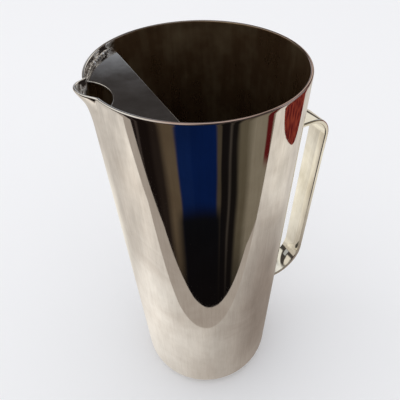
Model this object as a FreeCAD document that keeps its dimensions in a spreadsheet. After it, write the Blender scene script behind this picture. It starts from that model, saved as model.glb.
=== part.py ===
"""Tapered metal bar pitcher: a one-piece cup with a drawn pouring lip, an ice guard soldered
just under the rim at the lip, and a strap handle soldered to the opposite side.

Frame: origin on the cup's axis at its flat base, +Z up, the handle towards +X and the
pouring lip towards -X. Millimetres.
"""
import FreeCAD, Part
import os
import Sketcher

doc = FreeCAD.newDocument("bar_pitcher")

# ---------------------------------------------------------------- driving dimensions
DIMENSIONS = {
    # cup
    "cup_height": 208.0,
    "rim_radius": 49.0,
    "base_radius": 39.8,          # where the straight wall would meet the base
    "wall": 1.3,
    "corner_radius": 7.8,
    # pouring lip: circular sections, each with its radius and how far its tip stands out
    "lip_rise": 1.2,
    "lip_trim_start": 45.0,
    "lip_trim_inner": 13.7,
    "lip_trim_overrun": 5.0,
    "lip_top_over_rim": 2.0,
    "lip_top_radius": 9.4,
    "lip_top_tip": 54.8,
    "lip_neck_drop": 6.0,
    "lip_neck_radius": 11.0,
    "lip_neck_tip": 50.4,
    "lip_throat_drop": 13.0,
    "lip_throat_radius": 14.0,
    "lip_throat_tip": 49.3,
    "lip_foot_drop": 26.0,
    "lip_foot_radius": 18.0,
    "lip_foot_tip": 47.7,
    # ice guard
    "guard_drop": 3.5,
    "guard_thickness": 1.2,
    "guard_chord": 25.0,
    "guard_cut_radius": 18.0,
    "guard_cut_centre": 57.8,
    "guard_bead": 1.3,
    "guard_bead_start": 18.0,
    "guard_bead_sweep": 39.0,
    # strap handle, measured on its outer face
    "strap_width": 14.0,
    "strap_thickness": 2.5,
    "handle_top": 161.3,
    "handle_bottom": 36.8,
    "handle_reach_top": 78.35,
    "handle_reach_bottom": 70.3,
    "handle_top_bend": 12.3,
    "handle_bottom_bend": 20.2,
    "handle_root_depth": 5.0,     # the strap starts this far inside, then is cut to the wall
    # solder collars round the strap's two ends
    "collar_root_margin": 1.8,
    "collar_end_margin": 0.15,
    "collar_length": 1.6,
}

sheet = doc.addObject("Spreadsheet::Sheet", "dims")
for row, (alias, value) in enumerate(DIMENSIONS.items(), start=1):
    sheet.set(f"A{row}", alias)
    sheet.set(f"B{row}", str(value))
    sheet.setAlias(f"B{row}", alias)
doc.recompute()


def dim(alias):
    """The sheet's present value of one driving dimension."""
    return float(sheet.get(alias))


CLOSE = 0.01                      # two places nearer than this are the same place


# ---------------------------------------------------------------- PartDesign helpers
def new_body(name):
    body = doc.addObject("PartDesign::Body", name)
    body.Label = name
    body.Placement = FreeCAD.Placement()
    return body


def new_sketch(body, name, plane, offset=None):
    """A sketch on one of the body's own origin planes; offset is an expression along its normal."""
    sketch = body.newObject("Sketcher::SketchObject", name)
    support = next(f for f in body.Origin.OriginFeatures if f.Role == plane)
    sketch.AttachmentSupport = [(support, "")]
    sketch.MapMode = "FlatFace"
    if offset is not None:
        sketch.setExpression("AttachmentOffset.Base.z", offset)
    return sketch


def fix_point(sketch, geometry, point, across, up):
    """Tie a sketch point to two expressions, measured from the sketch's origin."""
    for kind, expression in (("DistanceX", across), ("DistanceY", up)):
        index = sketch.addConstraint(Sketcher.Constraint(kind, -1, 1, geometry, point, 1.0))
        sketch.setExpression(f"Constraints[{index}]", expression)


def polygon(sketch, corners):
    """A closed outline through corners given as pairs of expressions."""
    count = len(corners)
    seeds = [seed_point(sketch, pair) for pair in corners]
    for i in range(count):
        sketch.addGeometry(Part.LineSegment(seeds[i], seeds[(i + 1) % count]))
    for i in range(count):
        sketch.addConstraint(Sketcher.Constraint("Coincident", i, 2, (i + 1) % count, 1))
    for i, (across, up) in enumerate(corners):
        fix_point(sketch, i, 1, across, up)


def seed_point(sketch, pair):
    """Where a corner starts, so that the solver has nothing left to move."""
    values = [float(sketch.evalExpression(expression)) for expression in pair]
    return FreeCAD.Vector(values[0], values[1], 0)


def circle(sketch, across, radius):
    """A circle centred on the sketch's horizontal axis; both sizes are expressions."""
    size = float(sketch.evalExpression(radius))
    middle = seed_point(sketch, (across, "0"))
    geometry = sketch.addGeometry(Part.Circle(middle, FreeCAD.Vector(0, 0, 1), size))
    fix_point(sketch, geometry, 3, across, "0")
    index = sketch.addConstraint(Sketcher.Constraint("Radius", geometry, size))
    sketch.setExpression(f"Constraints[{index}]", radius)


def turn(body, name, kind, sketch, angle="360"):
    """Revolve a sketch of the XZ plane about the vertical axis, adding or cutting."""
    feature = body.newObject(f"PartDesign::{kind}", name)
    feature.Profile = sketch
    feature.ReferenceAxis = (sketch, ["V_Axis"])
    feature.setExpression("Angle", angle)
    return feature


def cut_through(body, name, sketch):
    """A pocket that cuts through everything on both sides of its sketch."""
    pocket = body.newObject("PartDesign::Pocket", name)
    pocket.Profile = sketch
    pocket.SideType = "Symmetric"
    pocket.Type = "ThroughAll"
    return pocket


def loft(body, name, kind, sections):
    feature = body.newObject(f"PartDesign::{kind}", name)
    feature.Profile = sections[0]
    feature.Sections = sections[1:]
    return feature


def fillet(body, name, base, edges, radius):
    """Round the named edges of a feature; the radius is an expression."""
    feature = body.newObject("PartDesign::Fillet", name)
    feature.Base = (base, edges)
    feature.setExpression("Radius", radius)
    return feature


def edges_where(feature, test):
    """The names of a feature's edges that pass a test."""
    found = [f"Edge{i}" for i, edge in enumerate(feature.Shape.Edges, start=1) if test(edge)]
    if not found:
        raise RuntimeError(f"no edge found on {feature.Name}")
    return found


def is_level_ring(edge, height):
    """True for a full circle about the axis at one height."""
    box = edge.BoundBox
    return abs(box.ZMin - height) < CLOSE and box.ZLength < CLOSE and box.XMin < 0 < box.XMax


# ---------------------------------------------------------------- cup
CONE = "(dims.rim_radius - dims.base_radius) / dims.cup_height"      # outward lean of the wall


def wall_radius(height, inset="0"):
    """Expression for the cup's radius at a height, less an inset."""
    return f"dims.base_radius + {CONE} * ({height}) - {inset}"


def cone_profile(sketch, low, high, inset):
    """Half section of the tapered form between two heights, on the axis side."""
    polygon(sketch, [
        ("0", low),
        (wall_radius(low, inset), low),
        (wall_radius(high, inset), high),
        ("0", high),
    ])


def lip_sections(body, prefix, inset):
    """Level circles that grow from inside the wall, low down, to the pouring lip."""
    sections = []
    for stage, level in (
        ("foot", "dims.cup_height - dims.lip_foot_drop"),
        ("throat", "dims.cup_height - dims.lip_throat_drop"),
        ("neck", "dims.cup_height - dims.lip_neck_drop"),
        ("top", "dims.cup_height + dims.lip_top_over_rim"),
    ):
        sketch = new_sketch(body, f"{prefix}_{stage}", "XY_Plane", level)
        radius = f"dims.lip_{stage}_radius"
        circle(sketch, f"{radius} - dims.lip_{stage}_tip", f"{radius} - {inset}")
        sections.append(sketch)
    return sections


def make_cup():
    body = new_body("cup")
    outside = new_sketch(body, "cup_outside", "XZ_Plane")
    cone_profile(outside, "0", "dims.cup_height", "0")
    turn(body, "cup_turned", "Revolution", outside)
    doc.recompute()

    over = "dims.cup_height + 2 * dims.lip_top_over_rim"
    hollow = new_sketch(body, "cup_inside", "XZ_Plane")
    cone_profile(hollow, "dims.wall", over, "dims.wall")
    hollowed = turn(body, "cup_hollow", "Groove", hollow)
    doc.recompute()
    # inside first: the sharp inner corner would otherwise break through the rounded outer one
    softened = fillet(body, "cup_inner_corner", hollowed,
                      edges_where(hollowed, lambda edge: is_level_ring(edge, dim("wall"))),
                      "dims.corner_radius - dims.wall")
    doc.recompute()
    fillet(body, "cup_corner", softened,
           edges_where(softened, lambda edge: is_level_ring(edge, 0)), "dims.corner_radius")
    doc.recompute()

    # the lip: its outer form is added, its top trimmed, and its channel and the cup cleared
    loft(body, "cup_lip", "AdditiveLoft", lip_sections(body, "lip_outside", "0"))
    doc.recompute()
    cut_through(body, "lip_trimmed", lip_trim_sketch(body, over))
    doc.recompute()
    bore = new_sketch(body, "lip_bore", "XZ_Plane")
    cone_profile(bore, "dims.cup_height - 2 * dims.lip_foot_drop", over, "dims.wall")
    turn(body, "lip_cleared", "Groove", bore)
    doc.recompute()
    loft(body, "cup_channel", "SubtractiveLoft", lip_sections(body, "lip_inside", "dims.wall"))
    doc.recompute()
    return body


def lip_trim_sketch(body, over):
    """Side view of what is cut away above the rim; the lip's top slopes up towards its tip."""
    sketch = new_sketch(body, "lip_trim", "XZ_Plane")
    outer = "-dims.lip_top_tip - dims.lip_trim_overrun"
    slope_run = "(dims.lip_top_tip + dims.lip_trim_overrun - dims.lip_trim_start)"
    slope_end = f"dims.cup_height + dims.lip_rise * {slope_run} / (dims.lip_top_tip - dims.lip_trim_start)"
    polygon(sketch, [
        (outer, over),
        (outer, slope_end),
        ("-dims.lip_trim_start", "dims.cup_height"),
        ("-dims.lip_trim_inner", "dims.cup_height"),
        ("-dims.lip_trim_inner", over),
    ])
    return sketch


# ---------------------------------------------------------------- ice guard
def make_ice_guard():
    """A flat plate across the lip side, with a round cut-out that lets the drink through."""
    body = new_body("ice_guard")
    under = "dims.cup_height - dims.guard_drop - dims.guard_thickness"
    disc = new_sketch(body, "guard_disc", "XY_Plane", under)
    circle(disc, "0", wall_radius(under, "dims.wall"))
    plate = body.newObject("PartDesign::Pad", "guard_plate")
    plate.Profile = disc
    plate.setExpression("Length", "dims.guard_thickness")
    doc.recompute()

    chord = new_sketch(body, "guard_chord_cut", "XY_Plane", under)
    polygon(chord, [
        ("-dims.guard_chord", "-2 * dims.rim_radius"),
        ("2 * dims.rim_radius", "-2 * dims.rim_radius"),
        ("2 * dims.rim_radius", "2 * dims.rim_radius"),
        ("-dims.guard_chord", "2 * dims.rim_radius"),
    ])
    cut_through(body, "guard_segment", chord)
    doc.recompute()

    window = new_sketch(body, "guard_window", "XY_Plane", under)
    circle(window, "-dims.guard_cut_centre", "dims.guard_cut_radius")
    cut_through(body, "guard_cut_out", window)
    doc.recompute()
    return body


def make_guard_bead(name, start_degrees):
    """A solder fillet in the corner between the plate's top and the wall."""
    body = new_body(name)
    seat = "dims.cup_height - dims.guard_drop"
    under = f"{seat} - dims.guard_thickness"
    corner = wall_radius(under, "dims.wall")
    section = new_sketch(body, name + "_section", "XZ_Plane")
    polygon(section, [
        (corner, seat),
        (f"{corner} - dims.guard_bead", seat),
        (corner, f"{seat} + dims.guard_bead"),
    ])
    turn(body, name + "_run", "Revolution", section, "dims.guard_bead_sweep")
    body.Placement = FreeCAD.Placement(
        FreeCAD.Vector(), FreeCAD.Rotation(FreeCAD.Vector(0, 0, 1), start_degrees))
    doc.recompute()
    return body


# ---------------------------------------------------------------- strap handle
def cut_to_wall(body, name):
    """Cut a piece back to the cup's outer surface, so that it sits flush on the wall."""
    sketch = new_sketch(body, name + "_seat", "XZ_Plane")
    cone_profile(sketch, "0", "dims.cup_height", "0")
    turn(body, name + "_seated", "Groove", sketch)
    doc.recompute()


def make_handle():
    body = new_body("handle_strap")
    lean = "(dims.handle_reach_top - dims.handle_reach_bottom) / (dims.handle_top - dims.handle_bottom)"
    gauge = "dims.strap_thickness"
    inner_top = f"dims.handle_top - {gauge}"
    inner_bottom = f"dims.handle_bottom + {gauge}"
    root = "dims.base_radius - dims.handle_root_depth"
    profile = new_sketch(body, "strap_profile", "XZ_Plane")
    polygon(profile, [
        (root, "dims.handle_top"),
        ("dims.handle_reach_top", "dims.handle_top"),
        ("dims.handle_reach_bottom", "dims.handle_bottom"),
        (root, "dims.handle_bottom"),
        (root, inner_bottom),
        (f"dims.handle_reach_bottom - {gauge} + {lean} * {gauge}", inner_bottom),
        (f"dims.handle_reach_top - {gauge} - {lean} * {gauge}", inner_top),
        (root, inner_top),
    ])
    strap = body.newObject("PartDesign::Pad", "strap")
    strap.Profile = profile
    strap.SideType = "Symmetric"
    strap.setExpression("Length", "dims.strap_width")
    doc.recompute()

    bends = (
        ("outer_top_bend", "dims.handle_top_bend", dim("handle_reach_top"), dim("handle_top")),
        ("inner_top_bend", f"dims.handle_top_bend - {gauge}",
         float(profile.evalExpression(f"dims.handle_reach_top - {gauge} - {lean} * {gauge}")),
         dim("handle_top") - dim("strap_thickness")),
        ("outer_bottom_bend", "dims.handle_bottom_bend", dim("handle_reach_bottom"), dim("handle_bottom")),
        ("inner_bottom_bend", f"dims.handle_bottom_bend - {gauge}",
         float(profile.evalExpression(f"dims.handle_reach_bottom - {gauge} + {lean} * {gauge}")),
         dim("handle_bottom") + dim("strap_thickness")),
    )
    last = strap
    for name, radius, across, up in bends:
        corner = edges_where(last, lambda edge: is_cross_edge(edge, across, up))
        last = fillet(body, name, last, corner, radius)
        doc.recompute()
    cut_to_wall(body, "strap")
    return body


def is_cross_edge(edge, across, up):
    """True for a straight edge across the strap through one point of its side view."""
    box = edge.BoundBox
    return (box.YLength > CLOSE and box.XLength < CLOSE and box.ZLength < CLOSE
            and abs(box.XMin - across) < CLOSE and abs(box.ZMin - up) < CLOSE)


def make_collar(name, strap_middle):
    """A collar of solder that tapers from the wall onto one end of the strap."""
    body = new_body(name)
    wall_here = wall_radius(strap_middle)

    def frame(suffix, offset, margin):
        sketch = new_sketch(body, f"{name}_{suffix}", "YZ_Plane", offset)
        half_width = f"(dims.strap_width / 2 + {margin})"
        half_height = f"(dims.strap_thickness / 2 + {margin})"
        polygon(sketch, [
            (f"-{half_width}", f"{strap_middle} - {half_height}"),
            (half_width, f"{strap_middle} - {half_height}"),
            (half_width, f"{strap_middle} + {half_height}"),
            (f"-{half_width}", f"{strap_middle} + {half_height}"),
        ])
        return sketch

    root = frame("root", f"{wall_here} - dims.collar_length", "dims.collar_root_margin")
    end = frame("end", f"{wall_here} + dims.collar_length", "dims.collar_end_margin")
    loft(body, name + "_taper", "AdditiveLoft", [root, end])
    doc.recompute()
    slot = frame("slot", f"{wall_here}", "0")
    cut_through(body, name + "_slot_cut", slot)
    doc.recompute()
    cut_to_wall(body, name)
    return body


# ---------------------------------------------------------------- assembly
bead_start = dim("guard_bead_start")
bead_sweep = dim("guard_bead_sweep")
pieces = [
    make_cup(),
    make_ice_guard(),
    make_guard_bead("guard_solder_left", 180 + bead_start),
    make_guard_bead("guard_solder_right", 180 - bead_start - bead_sweep),
    make_handle(),
    make_collar("upper_handle_solder", "(dims.handle_top - dims.strap_thickness / 2)"),
    make_collar("lower_handle_solder", "(dims.handle_bottom + dims.strap_thickness / 2)"),
]
doc.recompute()

for item in doc.Objects:
    if "Invalid" in item.State or "Error" in item.State:
        raise RuntimeError(f"{item.Name} failed: {item.State}")
for piece in pieces:
    if piece.Shape.isNull() or not piece.Shape.isValid():
        raise RuntimeError(f"{piece.Label} has no valid shape")

os.makedirs("parts", exist_ok=True)
for piece in pieces:
    piece.Shape.exportStep(f"parts/{piece.Label}.step")
    print(piece.Label, len(piece.Shape.Solids), "solid,", round(piece.Shape.Volume, 1), "mm3")
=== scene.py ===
"""Looks of a polished metal bar pitcher: cup with a pouring lip, ice guard and strap handle.

Every mesh is in metres in the model's own frame: origin on the cup's axis at the base, +Z up,
handle towards +X, lip towards -X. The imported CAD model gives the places; sizes that its boxes
do not show are named below, in millimetres.
"""
import bmesh
import bpy
import math
from mathutils import Matrix, Vector, noise


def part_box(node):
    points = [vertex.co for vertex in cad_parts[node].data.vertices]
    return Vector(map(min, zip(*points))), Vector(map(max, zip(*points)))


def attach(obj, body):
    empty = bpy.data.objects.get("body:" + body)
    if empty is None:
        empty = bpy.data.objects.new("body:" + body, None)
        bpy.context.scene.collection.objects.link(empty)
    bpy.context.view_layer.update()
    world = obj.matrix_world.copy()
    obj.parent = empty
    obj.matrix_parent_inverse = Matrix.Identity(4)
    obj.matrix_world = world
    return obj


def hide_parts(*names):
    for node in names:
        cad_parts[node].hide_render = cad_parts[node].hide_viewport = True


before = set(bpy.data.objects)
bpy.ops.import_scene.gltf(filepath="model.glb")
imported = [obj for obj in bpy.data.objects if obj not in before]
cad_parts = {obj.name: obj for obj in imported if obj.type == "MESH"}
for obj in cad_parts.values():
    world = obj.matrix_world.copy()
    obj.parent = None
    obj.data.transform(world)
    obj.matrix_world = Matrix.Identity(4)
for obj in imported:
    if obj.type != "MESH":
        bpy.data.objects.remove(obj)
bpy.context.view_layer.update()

MM = 0.001
cup_low, cup_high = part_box("cup")
guard_low, guard_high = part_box("ice_guard")
strap_low, strap_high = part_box("handle_strap")

# ---------------------------------------------------------------- sizes
LIP_RISE = 1.08 * MM
RIM_HEIGHT = cup_high.z - LIP_RISE
RIM_RADIUS = cup_high.y
BASE_RADIUS = 39.8 * MM              # where the straight wall would meet the base
SLOPE = (RIM_RADIUS - BASE_RADIUS) / RIM_HEIGHT
WALL = 1.3 * MM
RIM_BEAD = 0.75 * MM                 # radius of the rounded rim
NECK = 3 * MM                        # depth over which the bead runs into the inner wall
CORNER = 7.8 * MM                    # outer radius of the bottom corner

LIP_ROUND = 9.4 * MM                 # plan radius of the lip's tip, and how much it grows downwards
LIP_ROUND_GROWTH = 9 * MM
LIP_BLEND = 3.2 * MM                 # how softly the lip runs into the rim
LIP_DEPTH = 26 * MM
LIP_FADE = 0.6 * LIP_DEPTH           # the height over which the lip dies out into the wall
LIP_CHANNEL = 1.6 * MM               # how far the soft channel below the beak stands out
LIP_BEAK = -cup_low.x - RIM_RADIUS - LIP_CHANNEL
LIP_FLARE = 5.2 * MM
FLARE_POWER = 1.3

CUT_RADIUS = 18.0 * MM               # the guard's cut-out at the lip
CUT_CENTRE = -57.8 * MM
GUARD_EDGE = 0.45 * MM
GUARD_BEAD = 0.95 * MM               # radius of the solder along the guard

STRAP_THICKNESS = 2.5 * MM
STRAP_EDGE = 0.55 * MM
REACH_TOP = 78.32 * MM               # outer faces of the handle's grip, run on to its ends' levels
REACH_BOTTOM = 70.3 * MM
TOP_BEND = 12.3 * MM
BOTTOM_BEND = 20.2 * MM
COLLAR_BEAD = 0.7 * MM               # radius of the solder round the strap's ends, and its ring spacing

AROUND = 320                         # facets round the cup
CUT_STEPS = 40                       # stretches along each curved side of the guard
BEAD_SIDES = 14
BEAD_STEPS = 110
BEND_STEPS = 20
ARM_STEPS = 6                        # stretches along the handle's straight arms and along its grip
GRIP_STEPS = 12
FLOOR_RINGS = (0.25, 0.6, 0.95)      # shares of the flat base's radius that carry a ring of points


def wall_radius(height):
    return BASE_RADIUS + SLOPE * height


def between(start, end, share):
    """The point part of the way from one (x, z) pair to another."""
    return (start[0] + (end[0] - start[0]) * share, start[1] + (end[1] - start[1]) * share)


# ---------------------------------------------------------------- mesh helpers
def mesh_object(name, verts, faces, smooth=True):
    mesh = bpy.data.meshes.new(name)
    mesh.from_pydata([tuple(v) for v in verts], [], faces)
    mesh.validate()
    mesh.polygons.foreach_set("use_smooth", [smooth] * len(mesh.polygons))
    obj = bpy.data.objects.new(name, mesh)
    bpy.context.scene.collection.objects.link(obj)
    return obj


def face_outwards(obj):
    """Make all normals point out of the solid."""
    bm = bmesh.new()
    bm.from_mesh(obj.data)
    bmesh.ops.recalc_face_normals(bm, faces=bm.faces)
    bm.to_mesh(obj.data)
    bm.free()


def tube(name, rings, closed):
    """Skin a list of equal rings; an open tube gets a flat cap at each end."""
    count = len(rings[0])
    verts = [point for ring in rings for point in ring]
    faces = []
    spans = len(rings) if closed else len(rings) - 1
    for i in range(spans):
        low = i * count
        high = (i + 1) % len(rings) * count
        for j in range(count):
            k = (j + 1) % count
            faces.append((low + j, low + k, high + k, high + j))
    if not closed:
        faces.append(tuple(range(count)))
        faces.append(tuple(range(len(verts) - count, len(verts))))
    obj = mesh_object(name, verts, faces)
    face_outwards(obj)
    return obj


def finish_piece(obj, node):
    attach(obj, "root")
    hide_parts(node)


# ---------------------------------------------------------------- cup
def smooth_step(value):
    value = min(1.0, max(0.0, value))
    return value * value * (3 - 2 * value)


def lip_push(turn, depth):
    """How far the wall stands out at an angle from the lip's middle and a depth below the rim."""
    channel = LIP_CHANNEL * (1 - depth / LIP_DEPTH) ** 2
    beak = LIP_BEAK * math.exp(-((depth / LIP_FLARE) ** FLARE_POWER))
    size = LIP_ROUND + LIP_ROUND_GROWTH * depth / LIP_DEPTH
    wall = RIM_RADIUS - SLOPE * depth
    centre = wall + channel + beak - size
    inside = size ** 2 - (centre * math.sin(turn)) ** 2
    if abs(turn) > math.pi / 4 or inside <= 0:
        return 0.0
    stand = centre * math.cos(turn) + math.sqrt(inside) - wall
    share = min(1.0, max(0.0, 0.5 + 0.5 * stand / LIP_BLEND))
    blended = stand * share + LIP_BLEND * share * (1 - share) * 0.5
    return blended * smooth_step((LIP_DEPTH - depth) / LIP_FADE)


def cup_point(radius, height, angle):
    """A point of the lathe form, pushed out and up where the lip is drawn."""
    turn = math.remainder(angle - math.pi, 2 * math.pi)
    depth = RIM_HEIGHT - height
    if depth < LIP_DEPTH:
        push = lip_push(turn, max(0.0, depth))
        lift = push / (LIP_CHANNEL + LIP_BEAK)
        radius += push
        height += LIP_RISE * lift * max(0.0, 1 - depth / (2 * LIP_FLARE)) ** 2
    return Vector((radius * math.cos(angle), radius * math.sin(angle), height))


def arc(centre_radius, centre_height, size, start, end, steps):
    """Points of a round stretch of the section, in degrees."""
    points = []
    for i in range(steps + 1):
        turn = math.radians(start + (end - start) * i / steps)
        points.append((centre_radius + size * math.cos(turn), centre_height + size * math.sin(turn)))
    return points


def straight(start, end, steps):
    """Points between two section points, without the ends."""
    return [between(start, end, i / steps) for i in range(1, steps)]


def cup_section():
    """The wall's section from the underside's middle, over the rim, to the floor's middle.

    Also gives the point where the inside's look begins, just inside the rim's crest.
    """
    lean = math.degrees(math.atan(SLOPE))
    flat = BASE_RADIUS + SLOPE * CORNER - CORNER * math.hypot(1, SLOPE)
    outer_corner = arc(flat, CORNER, CORNER, -90, -lean, 14)
    inner_corner = arc(flat, CORNER, CORNER - WALL, -lean, -90, 12)
    below = RIM_HEIGHT - LIP_DEPTH
    bead_height = RIM_HEIGHT - RIM_BEAD
    rim = arc(wall_radius(bead_height) - RIM_BEAD, bead_height, RIM_BEAD, -lean, 180, 10)
    neck = (wall_radius(bead_height - NECK) - WALL, bead_height - NECK)
    outer_foot = (wall_radius(below), below)
    inner_foot = (wall_radius(below) - WALL, below)

    section = [(flat * share, 0.0) for share in FLOOR_RINGS] + outer_corner
    section += straight(outer_corner[-1], outer_foot, 16) + [outer_foot]
    section += straight(outer_foot, rim[0], 26) + rim
    inside_from = len(section) - 3
    section += straight(rim[-1], neck, 3) + [neck]
    section += straight(neck, inner_foot, 22) + [inner_foot]
    section += straight(inner_foot, inner_corner[0], 16) + inner_corner
    section += [(flat * share, WALL) for share in reversed(FLOOR_RINGS)]
    return section, inside_from


def make_cup(outside, inside):
    section, inside_from = cup_section()
    verts = [cup_point(radius, height, 2 * math.pi * i / AROUND)
             for radius, height in section for i in range(AROUND)]
    faces = []
    for row in range(len(section) - 1):
        for i in range(AROUND):
            k = (i + 1) % AROUND
            low, high = row * AROUND, (row + 1) * AROUND
            faces.append((low + i, low + k, high + k, high + i))
    for row, height in ((0, 0.0), (len(section) - 1, WALL)):
        middle = len(verts)
        verts.append(Vector((0, 0, height)))
        for i in range(AROUND):
            faces.append((row * AROUND + i, row * AROUND + (i + 1) % AROUND, middle))
    cup = mesh_object("pitcher_cup", verts, faces)
    cup.data.materials.append(outside)
    cup.data.materials.append(inside)
    outside_faces = inside_from * AROUND
    band_faces = (len(section) - 1) * AROUND
    for i, polygon in enumerate(cup.data.polygons):
        is_inner_floor = i >= band_faces + AROUND
        polygon.material_index = int(is_inner_floor or outside_faces <= i < band_faces)
    face_outwards(cup)
    finish_piece(cup, "cup")


# ---------------------------------------------------------------- ice guard
def circle_stretch(centre, radius, start, end):
    """Points along a circle centred on the X axis, from one angle to another."""
    turns = [start + (end - start) * i / CUT_STEPS for i in range(CUT_STEPS + 1)]
    return [(centre + radius * math.cos(turn), radius * math.sin(turn)) for turn in turns]


def guard_outline():
    """The plate's edge: chord, wall, cut-out, wall."""
    radius = wall_radius(guard_low.z) - WALL
    chord_turn = math.acos(guard_high.x / radius)
    cut_x = (radius ** 2 - CUT_RADIUS ** 2 + CUT_CENTRE ** 2) / (2 * CUT_CENTRE)
    cut_turn = math.acos(cut_x / radius)
    cut_half = math.atan2(radius * math.sin(cut_turn), cut_x - CUT_CENTRE)
    right = circle_stretch(0.0, radius, chord_turn, cut_turn)
    cut = circle_stretch(CUT_CENTRE, CUT_RADIUS, cut_half, -cut_half)
    left = [(x, -y) for x, y in reversed(right)]
    return right[:-1] + cut + left[1:]


def make_guard(material, edge_material):
    outline = guard_outline()
    count = len(outline)
    verts = [(x, y, level) for level in (guard_high.z, guard_low.z) for x, y in outline]
    faces = [tuple(range(count)), tuple(reversed(range(count, 2 * count)))]
    for i in range(count):
        k = (i + 1) % count
        faces.append((i, count + i, count + k, k))
    guard = mesh_object("pitcher_ice_guard", verts, faces)
    face_outwards(guard)
    bevel = guard.modifiers.new("rounded_edges", "BEVEL")
    bevel.width = GUARD_EDGE
    bevel.segments = 3
    bevel.material = 1
    bevel.limit_method = "ANGLE"
    bevel.angle_limit = math.radians(40)
    bevel.harden_normals = True
    guard.data.materials.append(material)
    guard.data.materials.append(edge_material)
    finish_piece(guard, "ice_guard")


def lumpy(point, scale, seed):
    """Smooth noise from -1 to 1 at a point, for hand-run solder."""
    return noise.noise(point * scale + Vector((seed, seed, seed)))


def bead_ring(centre, along, outward, size, seed):
    """One ring of a solder bead, its points pushed in and out so that it looks hand-run."""
    lump_scale, lump_share = 1100, 0.35
    across = along.cross(outward).normalized()
    ring = []
    for j in range(BEAD_SIDES):
        turn = 2 * math.pi * j / BEAD_SIDES
        way = outward * math.cos(turn) + across * math.sin(turn)
        point = centre + way * size
        ring.append(point + way * size * lump_share * lumpy(point, lump_scale, seed))
    return ring


def make_guard_bead(name, node, side, material):
    """Solder run in the corner between plate and wall on one side of the lip."""
    low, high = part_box(node)
    level = guard_high.z
    radius = wall_radius(level) - WALL
    start = math.acos(max(-1.0, low.x / radius))
    end = math.acos(high.x / radius)
    blunt, taper_rate = 0.25, 6          # size of the bead's very ends, and how fast it grows from them
    rings = []
    for i in range(BEAD_STEPS + 1):
        share = i / BEAD_STEPS
        turn = start + (end - start) * share
        out = Vector((math.cos(turn), side * math.sin(turn), 0))
        along = Vector((-math.sin(turn), side * math.cos(turn), 0))
        taper = min(1.0, taper_rate * share + blunt, taper_rate * (1 - share) + blunt)
        here = out * radius + Vector((0, 0, level))
        size = GUARD_BEAD * taper * (1 + 0.35 * lumpy(here, 260, 3.1))
        centre = here - out * size * 0.25 + Vector((0, 0, size * 0.25))
        rings.append(bead_ring(centre, along, out, size, 7.3))
    bead = tube(name, rings, closed=False)
    bead.data.materials.append(material)
    finish_piece(bead, node)


# ---------------------------------------------------------------- strap handle
def bend(centre, size, start, end):
    """Points of a bend in the side view, each with its outward normal; angles in radians."""
    points = []
    for i in range(BEND_STEPS + 1):
        turn = start + (end - start) * i / BEND_STEPS
        normal = (math.cos(turn), math.sin(turn))
        points.append(((centre[0] + size * normal[0], centre[1] + size * normal[1]), normal))
    return points


def handle_path():
    """The strap's middle line in its side view (x, z), with the normal that points outwards."""
    half = STRAP_THICKNESS / 2
    top, bottom = strap_high.z, strap_low.z
    lean = (REACH_TOP - REACH_BOTTOM) / (top - bottom)
    tilt = math.atan(lean)
    top_centre = (REACH_TOP - lean * TOP_BEND - TOP_BEND / math.cos(tilt), top - TOP_BEND)
    bottom_centre = (REACH_BOTTOM + lean * BOTTOM_BEND - BOTTOM_BEND / math.cos(tilt), bottom + BOTTOM_BEND)
    top_root = (wall_radius(top) - WALL / 2, top - half)
    bottom_root = (wall_radius(bottom) - WALL / 2, bottom + half)
    top_bend = bend(top_centre, TOP_BEND - half, math.pi / 2, -tilt)
    bottom_bend = bend(bottom_centre, BOTTOM_BEND - half, -tilt, -math.pi / 2)

    arm_end = (top_centre[0], top - half)
    path = [(between(top_root, arm_end, i / ARM_STEPS), (0.0, 1.0)) for i in range(ARM_STEPS)]
    path += top_bend
    grip_start, grip_end, grip_normal = top_bend[-1][0], bottom_bend[0][0], bottom_bend[0][1]
    path += [(between(grip_start, grip_end, i / GRIP_STEPS), grip_normal) for i in range(1, GRIP_STEPS)]
    path += bottom_bend
    arm_start = (bottom_centre[0], bottom + half)
    path += [(between(arm_start, bottom_root, i / ARM_STEPS), (0.0, -1.0)) for i in range(1, ARM_STEPS + 1)]
    return path


def strap_section(steps):
    """The strap's rounded section as (across, outward) pairs, with so many steps to a corner."""
    across, outward = strap_high.y - STRAP_EDGE, STRAP_THICKNESS / 2 - STRAP_EDGE
    corners = []
    for sx, sy, start in ((1, 1, 0), (-1, 1, 90), (-1, -1, 180), (1, -1, 270)):
        for i in range(steps + 1):
            turn = math.radians(start + 90 * i / steps)
            corners.append((sx * across + STRAP_EDGE * math.cos(turn),
                            sy * outward + STRAP_EDGE * math.sin(turn)))
    return corners


def make_handle(material):
    section = strap_section(steps=4)
    rings = []
    for (x, z), (nx, nz) in handle_path():
        rings.append([Vector((x + nx * out, across, z + nz * out)) for across, out in section])
    strap = tube("pitcher_handle", rings, closed=False)
    strap.data.materials.append(material)
    finish_piece(strap, "handle_strap")


def on_wall(across, height):
    """The point of the cup's outer wall on the handle side at a height and a sideways place."""
    return Vector((math.sqrt(wall_radius(height) ** 2 - across ** 2), across, height))


def make_collar(name, node, middle, material):
    """Solder fillet round the strap where it meets the cup's wall."""
    outline = strap_section(steps=5)
    places = []
    for i, start in enumerate(outline):
        end = outline[(i + 1) % len(outline)]
        parts = max(1, round(math.dist(start, end) / COLLAR_BEAD))
        places += [between(start, end, k / parts) for k in range(parts)]
    points = [on_wall(across, middle + up) for across, up in places]
    rings = []
    for i, here in enumerate(points):
        along = (points[(i + 1) % len(points)] - here).normalized()
        size = COLLAR_BEAD * (1 + 0.3 * lumpy(here, 400, 1.7))
        rings.append(bead_ring(here, along, Vector((1, 0, 0)), size, 5.9))
    collar = tube(name, rings, closed=True)
    collar.data.materials.append(material)
    finish_piece(collar, node)


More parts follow.
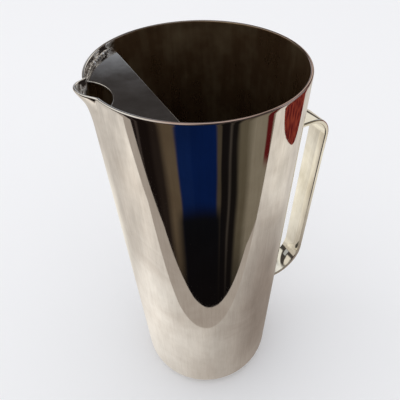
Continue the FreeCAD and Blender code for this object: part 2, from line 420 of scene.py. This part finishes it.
# ---------------------------------------------------------------- node trees
def srgb(red, green, blue):
    """Linear colour from the usual 0 to 255 values."""
    return tuple((c / 255 / 12.92) if c / 255 <= 0.04045 else ((c / 255 + 0.055) / 1.055) ** 2.4
                 for c in (red, green, blue))


class Nodes:
    """Short hand for building one node tree."""

    def __init__(self, tree, coordinates="Object"):
        self.tree = tree
        self.place = self.add("TexCoord").outputs[coordinates]

    def add(self, kind):
        return self.tree.nodes.new("ShaderNode" + kind)

    def feed(self, socket, value):
        """Give a socket a number, a colour or another node's output."""
        if isinstance(value, (int, float)):
            socket.default_value = value
        elif isinstance(value, tuple):
            socket.default_value = (*value, 1)
        else:
            self.tree.links.new(value, socket)

    def stretched(self, scale):
        mapping = self.add("Mapping")
        mapping.inputs["Scale"].default_value = scale
        self.feed(mapping.inputs["Vector"], self.place)
        return mapping.outputs["Vector"]

    def noise(self, scale, detail, vector=None, rough=0.5, distortion=0.0):
        node = self.add("TexNoise")
        node.inputs["Scale"].default_value = scale
        node.inputs["Detail"].default_value = detail
        node.inputs["Roughness"].default_value = rough
        node.inputs["Distortion"].default_value = distortion
        self.feed(node.inputs["Vector"], vector or self.place)
        return node.outputs["Fac"]

    def ramp(self, value, *stops):
        node = self.add("ValToRGB")
        ramp = node.color_ramp
        ramp.elements[0].position, ramp.elements[0].color = stops[0][0], (*stops[0][1], 1)
        ramp.elements[1].position, ramp.elements[1].color = stops[-1][0], (*stops[-1][1], 1)
        for position, colour in stops[1:-1]:
            ramp.elements.new(position).color = (*colour, 1)
        self.feed(node.inputs["Fac"], value)
        return node.outputs["Color"]

    def remap(self, value, low, high, to_low=0.0, to_high=1.0, smooth=False):
        node = self.add("MapRange")
        if smooth:
            node.interpolation_type = "SMOOTHSTEP"
        for name, number in (("From Min", low), ("From Max", high), ("To Min", to_low), ("To Max", to_high)):
            node.inputs[name].default_value = number
        self.feed(node.inputs["Value"], value)
        return node.outputs["Result"]

    def math(self, operation, *values):
        node = self.add("Math")
        node.operation = operation
        for socket, value in zip(node.inputs, values):
            self.feed(socket, value)
        return node.outputs["Value"]

    def mix(self, share, first, second):
        node = self.add("Mix")
        node.data_type = "RGBA"
        colours = [socket for socket in node.inputs if socket.type == "RGBA"]
        self.feed(node.inputs["Factor"], share)
        self.feed(colours[0], first)
        self.feed(colours[1], second)
        return next(socket for socket in node.outputs if socket.type == "RGBA")

    def blend(self, first, second, second_share):
        """Two values added in given shares."""
        return self.math("ADD", self.math("MULTIPLY", first, 1 - second_share),
                         self.math("MULTIPLY", second, second_share))

    def along(self, axis):
        """A point's place along one axis."""
        split = self.add("SeparateXYZ")
        self.feed(split.inputs[0], self.place)
        return split.outputs[axis]


class Surface(Nodes):
    """A Principled material."""

    def __init__(self, name, metallic=1.0):
        self.material = bpy.data.materials.new(name)
        self.material.use_nodes = True
        super().__init__(self.material.node_tree)
        self.shader = self.tree.nodes["Principled BSDF"]
        self.shader.inputs["Metallic"].default_value = metallic

    def look(self, colour, roughness):
        self.feed(self.shader.inputs["Base Color"], colour)
        self.feed(self.shader.inputs["Roughness"], roughness)

    def bump(self, height, strength, distance):
        """Add a layer of relief on top of any that is there."""
        node = self.add("Bump")
        node.inputs["Strength"].default_value = strength
        node.inputs["Distance"].default_value = distance
        self.feed(node.inputs["Height"], height)
        normal = self.shader.inputs["Normal"]
        if normal.is_linked:
            self.feed(node.inputs["Normal"], normal.links[0].from_socket)
        self.feed(normal, node.outputs["Normal"])


class Glow(Nodes):
    """An emitting material for a studio card."""

    def __init__(self, name, coordinates="Object"):
        self.material = bpy.data.materials.new(name)
        self.material.use_nodes = True
        self.material.node_tree.nodes.clear()
        super().__init__(self.material.node_tree, coordinates)
        self.emission = self.add("Emission")
        self.feed(self.add("OutputMaterial").inputs["Surface"], self.emission.outputs[0])

    def shine(self, colour, strength=1.0):
        self.feed(self.emission.inputs["Color"], colour)
        self.feed(self.emission.inputs["Strength"], strength)


# ---------------------------------------------------------------- materials
# Rim tarnish, near side and far side; the far colour is made darker with painted shade
BROWNED_NEAR = (0.42, 0.26, 0.21)
BROWNED_AND_SHADED_FAR = (0.13, 0.085, 0.065)


def polished_metal(name="polished_silver", tint=(0.96, 0.945, 0.92), shade=(0.76, 0.72, 0.68), rim=True):
    """Old polished plate: bright, with handling smudges, fine upright wipe marks and a warm tarnished rim
    whose far side is darkened with painted shade.
    """
    n = Surface(name)
    smudges = n.noise(24, 4, rough=0.62, distortion=0.5)
    wipes = n.noise(60, 3, n.stretched((14, 14, 0.7)), rough=0.7)
    worn = n.remap(n.blend(smudges, wipes, 0.25), 0.38, 0.64)
    body = n.mix(worn, tint, shade)
    if rim:
        high = n.remap(n.along("Z"), RIM_HEIGHT - 1.0 * MM, RIM_HEIGHT - 0.2 * MM, 0.0, 0.8)
        away_from_lip = n.remap(n.along("X"), -40 * MM, -30 * MM)
        # the rim's brown is tarnish; its darkening towards the far side (+Y) is painted shade
        far_side_shade = n.remap(n.along("Y"), -10 * MM, 20 * MM)
        body = n.mix(n.math("MULTIPLY", high, away_from_lip), body, n.mix(far_side_shade, BROWNED_NEAR, BROWNED_AND_SHADED_FAR))
    n.look(body, n.remap(worn, 0.0, 1.0, 0.015, 0.06))
    waviness = n.noise(9, 1.5)
    n.bump(waviness, 0.35, 0.4 * MM)
    scratches = n.noise(900, 2, n.stretched((1, 1, 0.04)))
    n.bump(scratches, 0.03, 0.02 * MM)
    return n.material


def tarnished_metal():
    """The inside: brown-black tarnish with upright streaks and patches where it has been rubbed.

    Beside the lip, above the ice guard, solder and flux have left it lumpy and half bright.
    """
    n = Surface("tarnished_inside", metallic=0.85)
    patches = n.noise(24, 4, rough=0.6)
    streaks = n.noise(40, 3, n.stretched((3, 3, 0.35)), rough=0.65)
    wear = n.blend(patches, streaks, 0.3)
    stain = n.ramp(wear, (0.34, (0.12, 0.06, 0.025)), (0.5, (0.19, 0.115, 0.06)), (0.64, (0.34, 0.26, 0.155)))
    flux = n.noise(190, 3, n.stretched((1, 1, 1.8)), rough=0.6, distortion=0.6)
    smear = n.ramp(flux, (0.42, (0.05, 0.035, 0.03)), (0.49, (0.36, 0.30, 0.26)), (0.54, (0.97, 0.95, 0.92)))
    above_guard = n.remap(n.along("Z"), guard_low.z - 1.0 * MM, guard_low.z)
    beside_lip = n.remap(n.along("X"), -23 * MM, -27 * MM)
    near_lip = n.math("MULTIPLY", above_guard, beside_lip)
    n.look(n.mix(near_lip, stain, smear), n.remap(wear, 0.35, 0.65, 0.22, 0.36))
    n.bump(n.math("MULTIPLY", flux, near_lip), 0.9, 1.4 * MM)
    grain = n.noise(300, 3)
    n.bump(grain, 0.08, 0.05 * MM)
    return n.material


def guard_metal():
    """Dull dark plate, a little worn, with fine marks."""
    n = Surface("ice_guard_plate")
    wear = n.noise(70, 4, rough=0.65)
    n.look(n.ramp(wear, (0.35, (0.40, 0.385, 0.375)), (0.65, (0.56, 0.55, 0.545))),
           n.remap(wear, 0.3, 0.7, 0.06, 0.12))
    marks = n.noise(120, 3, n.stretched((0.4, 1.6, 1)))
    n.bump(marks, 0.05, 0.04 * MM)
    return n.material


def solder_metal():
    """Hand-run solder: lumpy, with bright and dark grains at random."""
    n = Surface("solder_bead")
    grain = n.noise(900, 4, rough=0.6)
    n.look(n.ramp(grain, (0.36, (0.16, 0.135, 0.12)), (0.56, (0.90, 0.87, 0.83))),
           n.remap(grain, 0.3, 0.7, 0.32, 0.14))
    lumps = n.noise(1500, 3)
    n.bump(lumps, 0.5, 0.25 * MM)
    return n.material


# ---------------------------------------------------------------- stage
CAMERA_PLACE = Vector((-78.55, -157.55, 291.06)) * MM
CAMERA_AZIMUTH = math.radians(-28.54)
CAMERA_ELEVATION = math.radians(38.885)
CAMERA_ROLL = math.radians(-0.51)


def make_camera():
    data = bpy.data.cameras.new("camera")
    data.lens = 39.68
    data.shift_x = -0.035
    data.shift_y = -0.08
    data.clip_start = 0.005
    data.clip_end = 50
    camera = bpy.data.objects.new("camera", data)
    back = Vector((math.sin(CAMERA_AZIMUTH) * math.cos(CAMERA_ELEVATION),
                   -math.cos(CAMERA_AZIMUTH) * math.cos(CAMERA_ELEVATION), math.sin(CAMERA_ELEVATION)))
    turn = (-back).to_track_quat("-Z", "Y").to_matrix().to_4x4()
    camera.matrix_world = Matrix.Translation(CAMERA_PLACE) @ turn @ Matrix.Rotation(CAMERA_ROLL, 4, "Z")
    bpy.context.scene.collection.objects.link(camera)
    bpy.context.scene.camera = camera


FLOOR_HALF = 6.0
FLOOR_DROP = 0.05 * MM               # keeps the floor just clear of the pitcher's base


def make_floor():
    corners = [(sx * FLOOR_HALF, sy * FLOOR_HALF, 0) for sx, sy in ((-1, -1), (1, -1), (1, 1), (-1, 1))]
    floor = mesh_object("studio_floor", corners, [(0, 1, 2, 3)], smooth=False)
    floor.location.z = -FLOOR_DROP
    n = Surface("studio_floor", metallic=0.0)
    n.look((0.87, 0.875, 0.90), 0.9)
    n.shader.inputs["Specular IOR Level"].default_value = 0.1
    floor.data.materials.append(n.material)
    floor.visible_glossy = False


def make_card(name, corners, material):
    """A flat studio card, which shows in polished metal and nowhere else."""
    card = mesh_object(name, corners, [tuple(range(len(corners)))], smooth=False)
    card.data.materials.append(material)
    card.visible_camera = False
    card.visible_diffuse = False
    card.visible_transmission = False
    card.visible_volume_scatter = False
    card.visible_shadow = False


# Edges are points (to the right, towards the front), in metres, seen facing the table's front.
# Not plain studio choices: the points of the two table edges are rounded from a trace of where the
# photograph's reflections come from, which began from places measured in the photograph.
TABLE_TURN = math.radians(-26.5)     # the azimuth that the table's front edge faces
TABLE_HALF = 5.0
TABLE_TOP_LEVEL = -0.4 * MM          # the top lies over the rim, so that the rim shows only past its edge
TABLE_RIM_LEVEL = -1.0 * MM
TABLE_TOP_EDGE = ((-TABLE_HALF, 0.075), (-0.30, 0.075), (-0.17, 0.094), (-0.05, 0.078), (TABLE_HALF, 0.075))
TABLE_RIM_EDGE = ((-TABLE_HALF, 0.121), (-0.12, 0.121), (-0.05, 0.106), (-0.025, 0.099), (0.0, 0.0945),
                  (0.025, 0.0925), (0.05, 0.092), (0.11, 0.092), (0.15, 0.078), (TABLE_HALF, 0.083))
TABLE_TONE = srgb(206, 199, 190)
TABLE_SPOTS = (                      # (place, radius, colour) of each pool of light or shade
    ((0.26, -0.12), 0.16, srgb(228, 221, 209)),
    ((-0.24, 0.02), 0.15, srgb(240, 232, 221)),
    ((0.0, 0.15), 0.14, srgb(250, 244, 232)),
    ((0.064, -0.040), 0.13, srgb(138, 127, 118)),
    ((-0.082, 0.012), 0.085, srgb(246, 240, 231)),
)


def table_card(name, edge, level, material):
    """A level card whose front follows an edge."""
    corners = []
    for right, toward in (*edge, (TABLE_HALF, -TABLE_HALF), (-TABLE_HALF, -TABLE_HALF)):
        x = toward * math.sin(TABLE_TURN) + right * math.cos(TABLE_TURN)
        y = -toward * math.cos(TABLE_TURN) + right * math.sin(TABLE_TURN)
        corners.append((x, y, level))
    make_card(name, corners, material)


def make_table():
    """Pale warm table top, bright to the pitcher's left and in its own shade on the right."""
    n = Glow("table_top")
    colour = TABLE_TONE
    for middle, radius, tone in TABLE_SPOTS:
        distance = n.add("VectorMath")
        distance.operation = "DISTANCE"
        distance.inputs[1].default_value = (*middle, 0)
        n.feed(distance.inputs[0], n.place)
        near = n.remap(distance.outputs["Value"], radius, radius * 0.1, smooth=True)
        colour = n.mix(near, colour, tone)
    # cloudy light on the table, so that the metal's pale parts are not one flat tone
    clouds = n.noise(16, 4, rough=0.6)
    n.shine(colour, n.remap(clouds, 0.3, 0.7, 0.86, 1.14))
    table_card("table_top_card", TABLE_TOP_EDGE, TABLE_TOP_LEVEL, n.material)
    rim = Glow("table_rim")
    rim.shine(srgb(166, 156, 146))
    table_card("table_rim_card", TABLE_RIM_EDGE, TABLE_RIM_LEVEL, rim.material)


CUSHION_MIDDLE = Vector((0.25, -0.062, 0.093))
CUSHION_HALF = 0.085
CUSHION_POINTS = 64


def make_red_cushion():
    """A mottled dark red cushion shape beyond the handle, seen only as a patch in the metal."""
    def rounded(value):
        return math.copysign(CUSHION_HALF * math.sqrt(abs(value)), value)

    corners = []
    for i in range(CUSHION_POINTS):
        turn = 2 * math.pi * i / CUSHION_POINTS
        corners.append(CUSHION_MIDDLE + Vector((0, rounded(math.cos(turn)), rounded(math.sin(turn)))))
    n = Glow("dark_red_card", coordinates="Generated")
    n.shine(n.ramp(n.noise(14, 0), (0.36, srgb(88, 28, 28)), (0.66, srgb(132, 56, 42))))
    make_card("red_card", corners, n.material)


# Not plain studio choices either: these directions and colours follow the photographed room, and most
# colours are within a few levels of colours sampled from its reflection in the photograph. The two navy
# bands stand where the clothing of the person taking the picture is reflected.
ROOM_BANDS = (                       # (from azimuth, to azimuth, colour): upright bands of a dim room
    (-180, -120, (150, 140, 128)),
    (-99, -97, (28, 22, 20)),
    (-95.5, -94.5, (60, 52, 48)),
    (-93, -84, (22, 16, 14)),
    (-78, -72, (34, 27, 23)),
    (-64, -54, (86, 73, 57)),
    (-51.5, -37, (12, 28, 66)),
    (-35.5, -10.5, (8, 24, 62)),
    (-9, -5.5, (64, 56, 45)),
    (-4.5, 2.5, (18, 15, 14)),
    (4, 5, (58, 52, 46)),
    (6.5, 12, (20, 17, 15)),
    (17, 24, (84, 76, 61)),
    (32, 53, (122, 113, 97)),
    (60, 180, (150, 140, 128)),
)
# Each panel: azimuth and half width in degrees, lowest and highest sine of elevation, how soft its
# upper and lower edges are, and its colour.
DARK_RED_BAND = (50, 5, -0.68, 0.1, 0.03, (84, 22, 22))
DARK_BELOW_NAVY = (-30, 34, -1.5, -0.745, 0.03, (12, 12, 14))
SOFT_PANELS = (
    (-95, 75, 0.25, 0.98, 0.12, (236, 233, 226)),
    (75, 24, 0.15, 0.80, 0.12, (200, 205, 215)),
    (168, 18, -0.2, 0.435, 0.04, (190, 194, 200)),
    (130, 20, 0.2, 0.85, 0.12, (235, 230, 222)),
)


def make_world():
    """Even white light on the set; polished metal sees a dim room with soft panels instead."""
    world = bpy.data.worlds.new("studio")
    bpy.context.scene.world = world
    world.use_nodes = True
    world.node_tree.nodes.clear()
    n = Nodes(world.node_tree, coordinates="Generated")
    height = n.along("Z")
    azimuth = n.math("ARCTAN2", n.along("X"), n.math("MULTIPLY", n.along("Y"), -1.0))
    # the bands' edges waver a little
    waver = n.math("MULTIPLY", n.math("SUBTRACT", n.noise(3.5, 2), 0.5), 0.16)
    azimuth = n.math("ADD", azimuth, waver)

    def panel(base, at_degrees, width, low, high, fade, colour):
        off = n.math("ABSOLUTE", n.math("SUBTRACT", azimuth, math.radians(at_degrees)))
        side = n.remap(off, math.radians(width), math.radians(width * 0.6), smooth=True)
        rise = n.math("MULTIPLY", n.remap(height, low, low + fade, smooth=True),
                      n.remap(height, high, high - fade, smooth=True))
        return n.mix(n.math("MULTIPLY", side, rise), base, srgb(*colour))

    upper = n.mix(n.remap(height, 0.80, 0.95, smooth=True), srgb(72, 68, 66), srgb(235, 233, 230))
    for soft_panel in SOFT_PANELS:
        upper = panel(upper, *soft_panel)

    stops = [((degrees + 180) / 360, srgb(*colour)) for *span, colour in ROOM_BANDS for degrees in span]
    turn = n.math("ADD", n.math("DIVIDE", azimuth, 2 * math.pi), 0.5)
    lower = panel(panel(n.ramp(turn, *stops), *DARK_RED_BAND), *DARK_BELOW_NAVY)
    lower = n.mix(n.remap(height, -0.76, -0.90, smooth=True), lower, (0.004, 0.003, 0.003))
    room = n.mix(n.remap(height, -0.02, 0.06, smooth=True), lower, upper)

    paths = n.add("LightPath")
    lit = n.mix(paths.outputs["Is Camera Ray"], (1.0, 1.0, 1.0), srgb(238, 239, 243))
    background = n.add("Background")
    n.feed(background.inputs["Color"], n.mix(paths.outputs["Is Glossy Ray"], lit, room))
    n.feed(n.add("OutputWorld").inputs["Surface"], background.outputs[0])


def make_light():
    data = bpy.data.lights.new("soft_key", "AREA")
    data.shape = "DISK"
    data.size = 1.2
    data.energy = 1.1
    light = bpy.data.objects.new("soft_key", data)
    light.location = (-0.7, 0.3, 1.2)
    light.rotation_mode = "QUATERNION"
    light.rotation_quaternion = (-light.location).to_track_quat("-Z", "Y")
    light.visible_glossy = False
    bpy.context.scene.collection.objects.link(light)


# ---------------------------------------------------------------- make everything
bpy.context.scene.view_settings.view_transform = "Standard"
make_camera()
make_world()
make_light()
make_floor()
make_table()
make_red_cushion()

silver = polished_metal()
handle_silver = polished_metal("handle_silver", tint=(0.97, 0.955, 0.88), shade=(0.78, 0.74, 0.63), rim=False)
solder = solder_metal()
make_cup(silver, tarnished_metal())
make_guard(guard_metal(), silver)
make_guard_bead("pitcher_guard_solder_left", "guard_solder_left", -1, solder)
make_guard_bead("pitcher_guard_solder_right", "guard_solder_right", 1, solder)
make_handle(handle_silver)
make_collar("pitcher_upper_solder", "upper_handle_solder", strap_high.z - STRAP_THICKNESS / 2, solder)
make_collar("pitcher_lower_solder", "lower_handle_solder", strap_low.z + STRAP_THICKNESS / 2, solder)
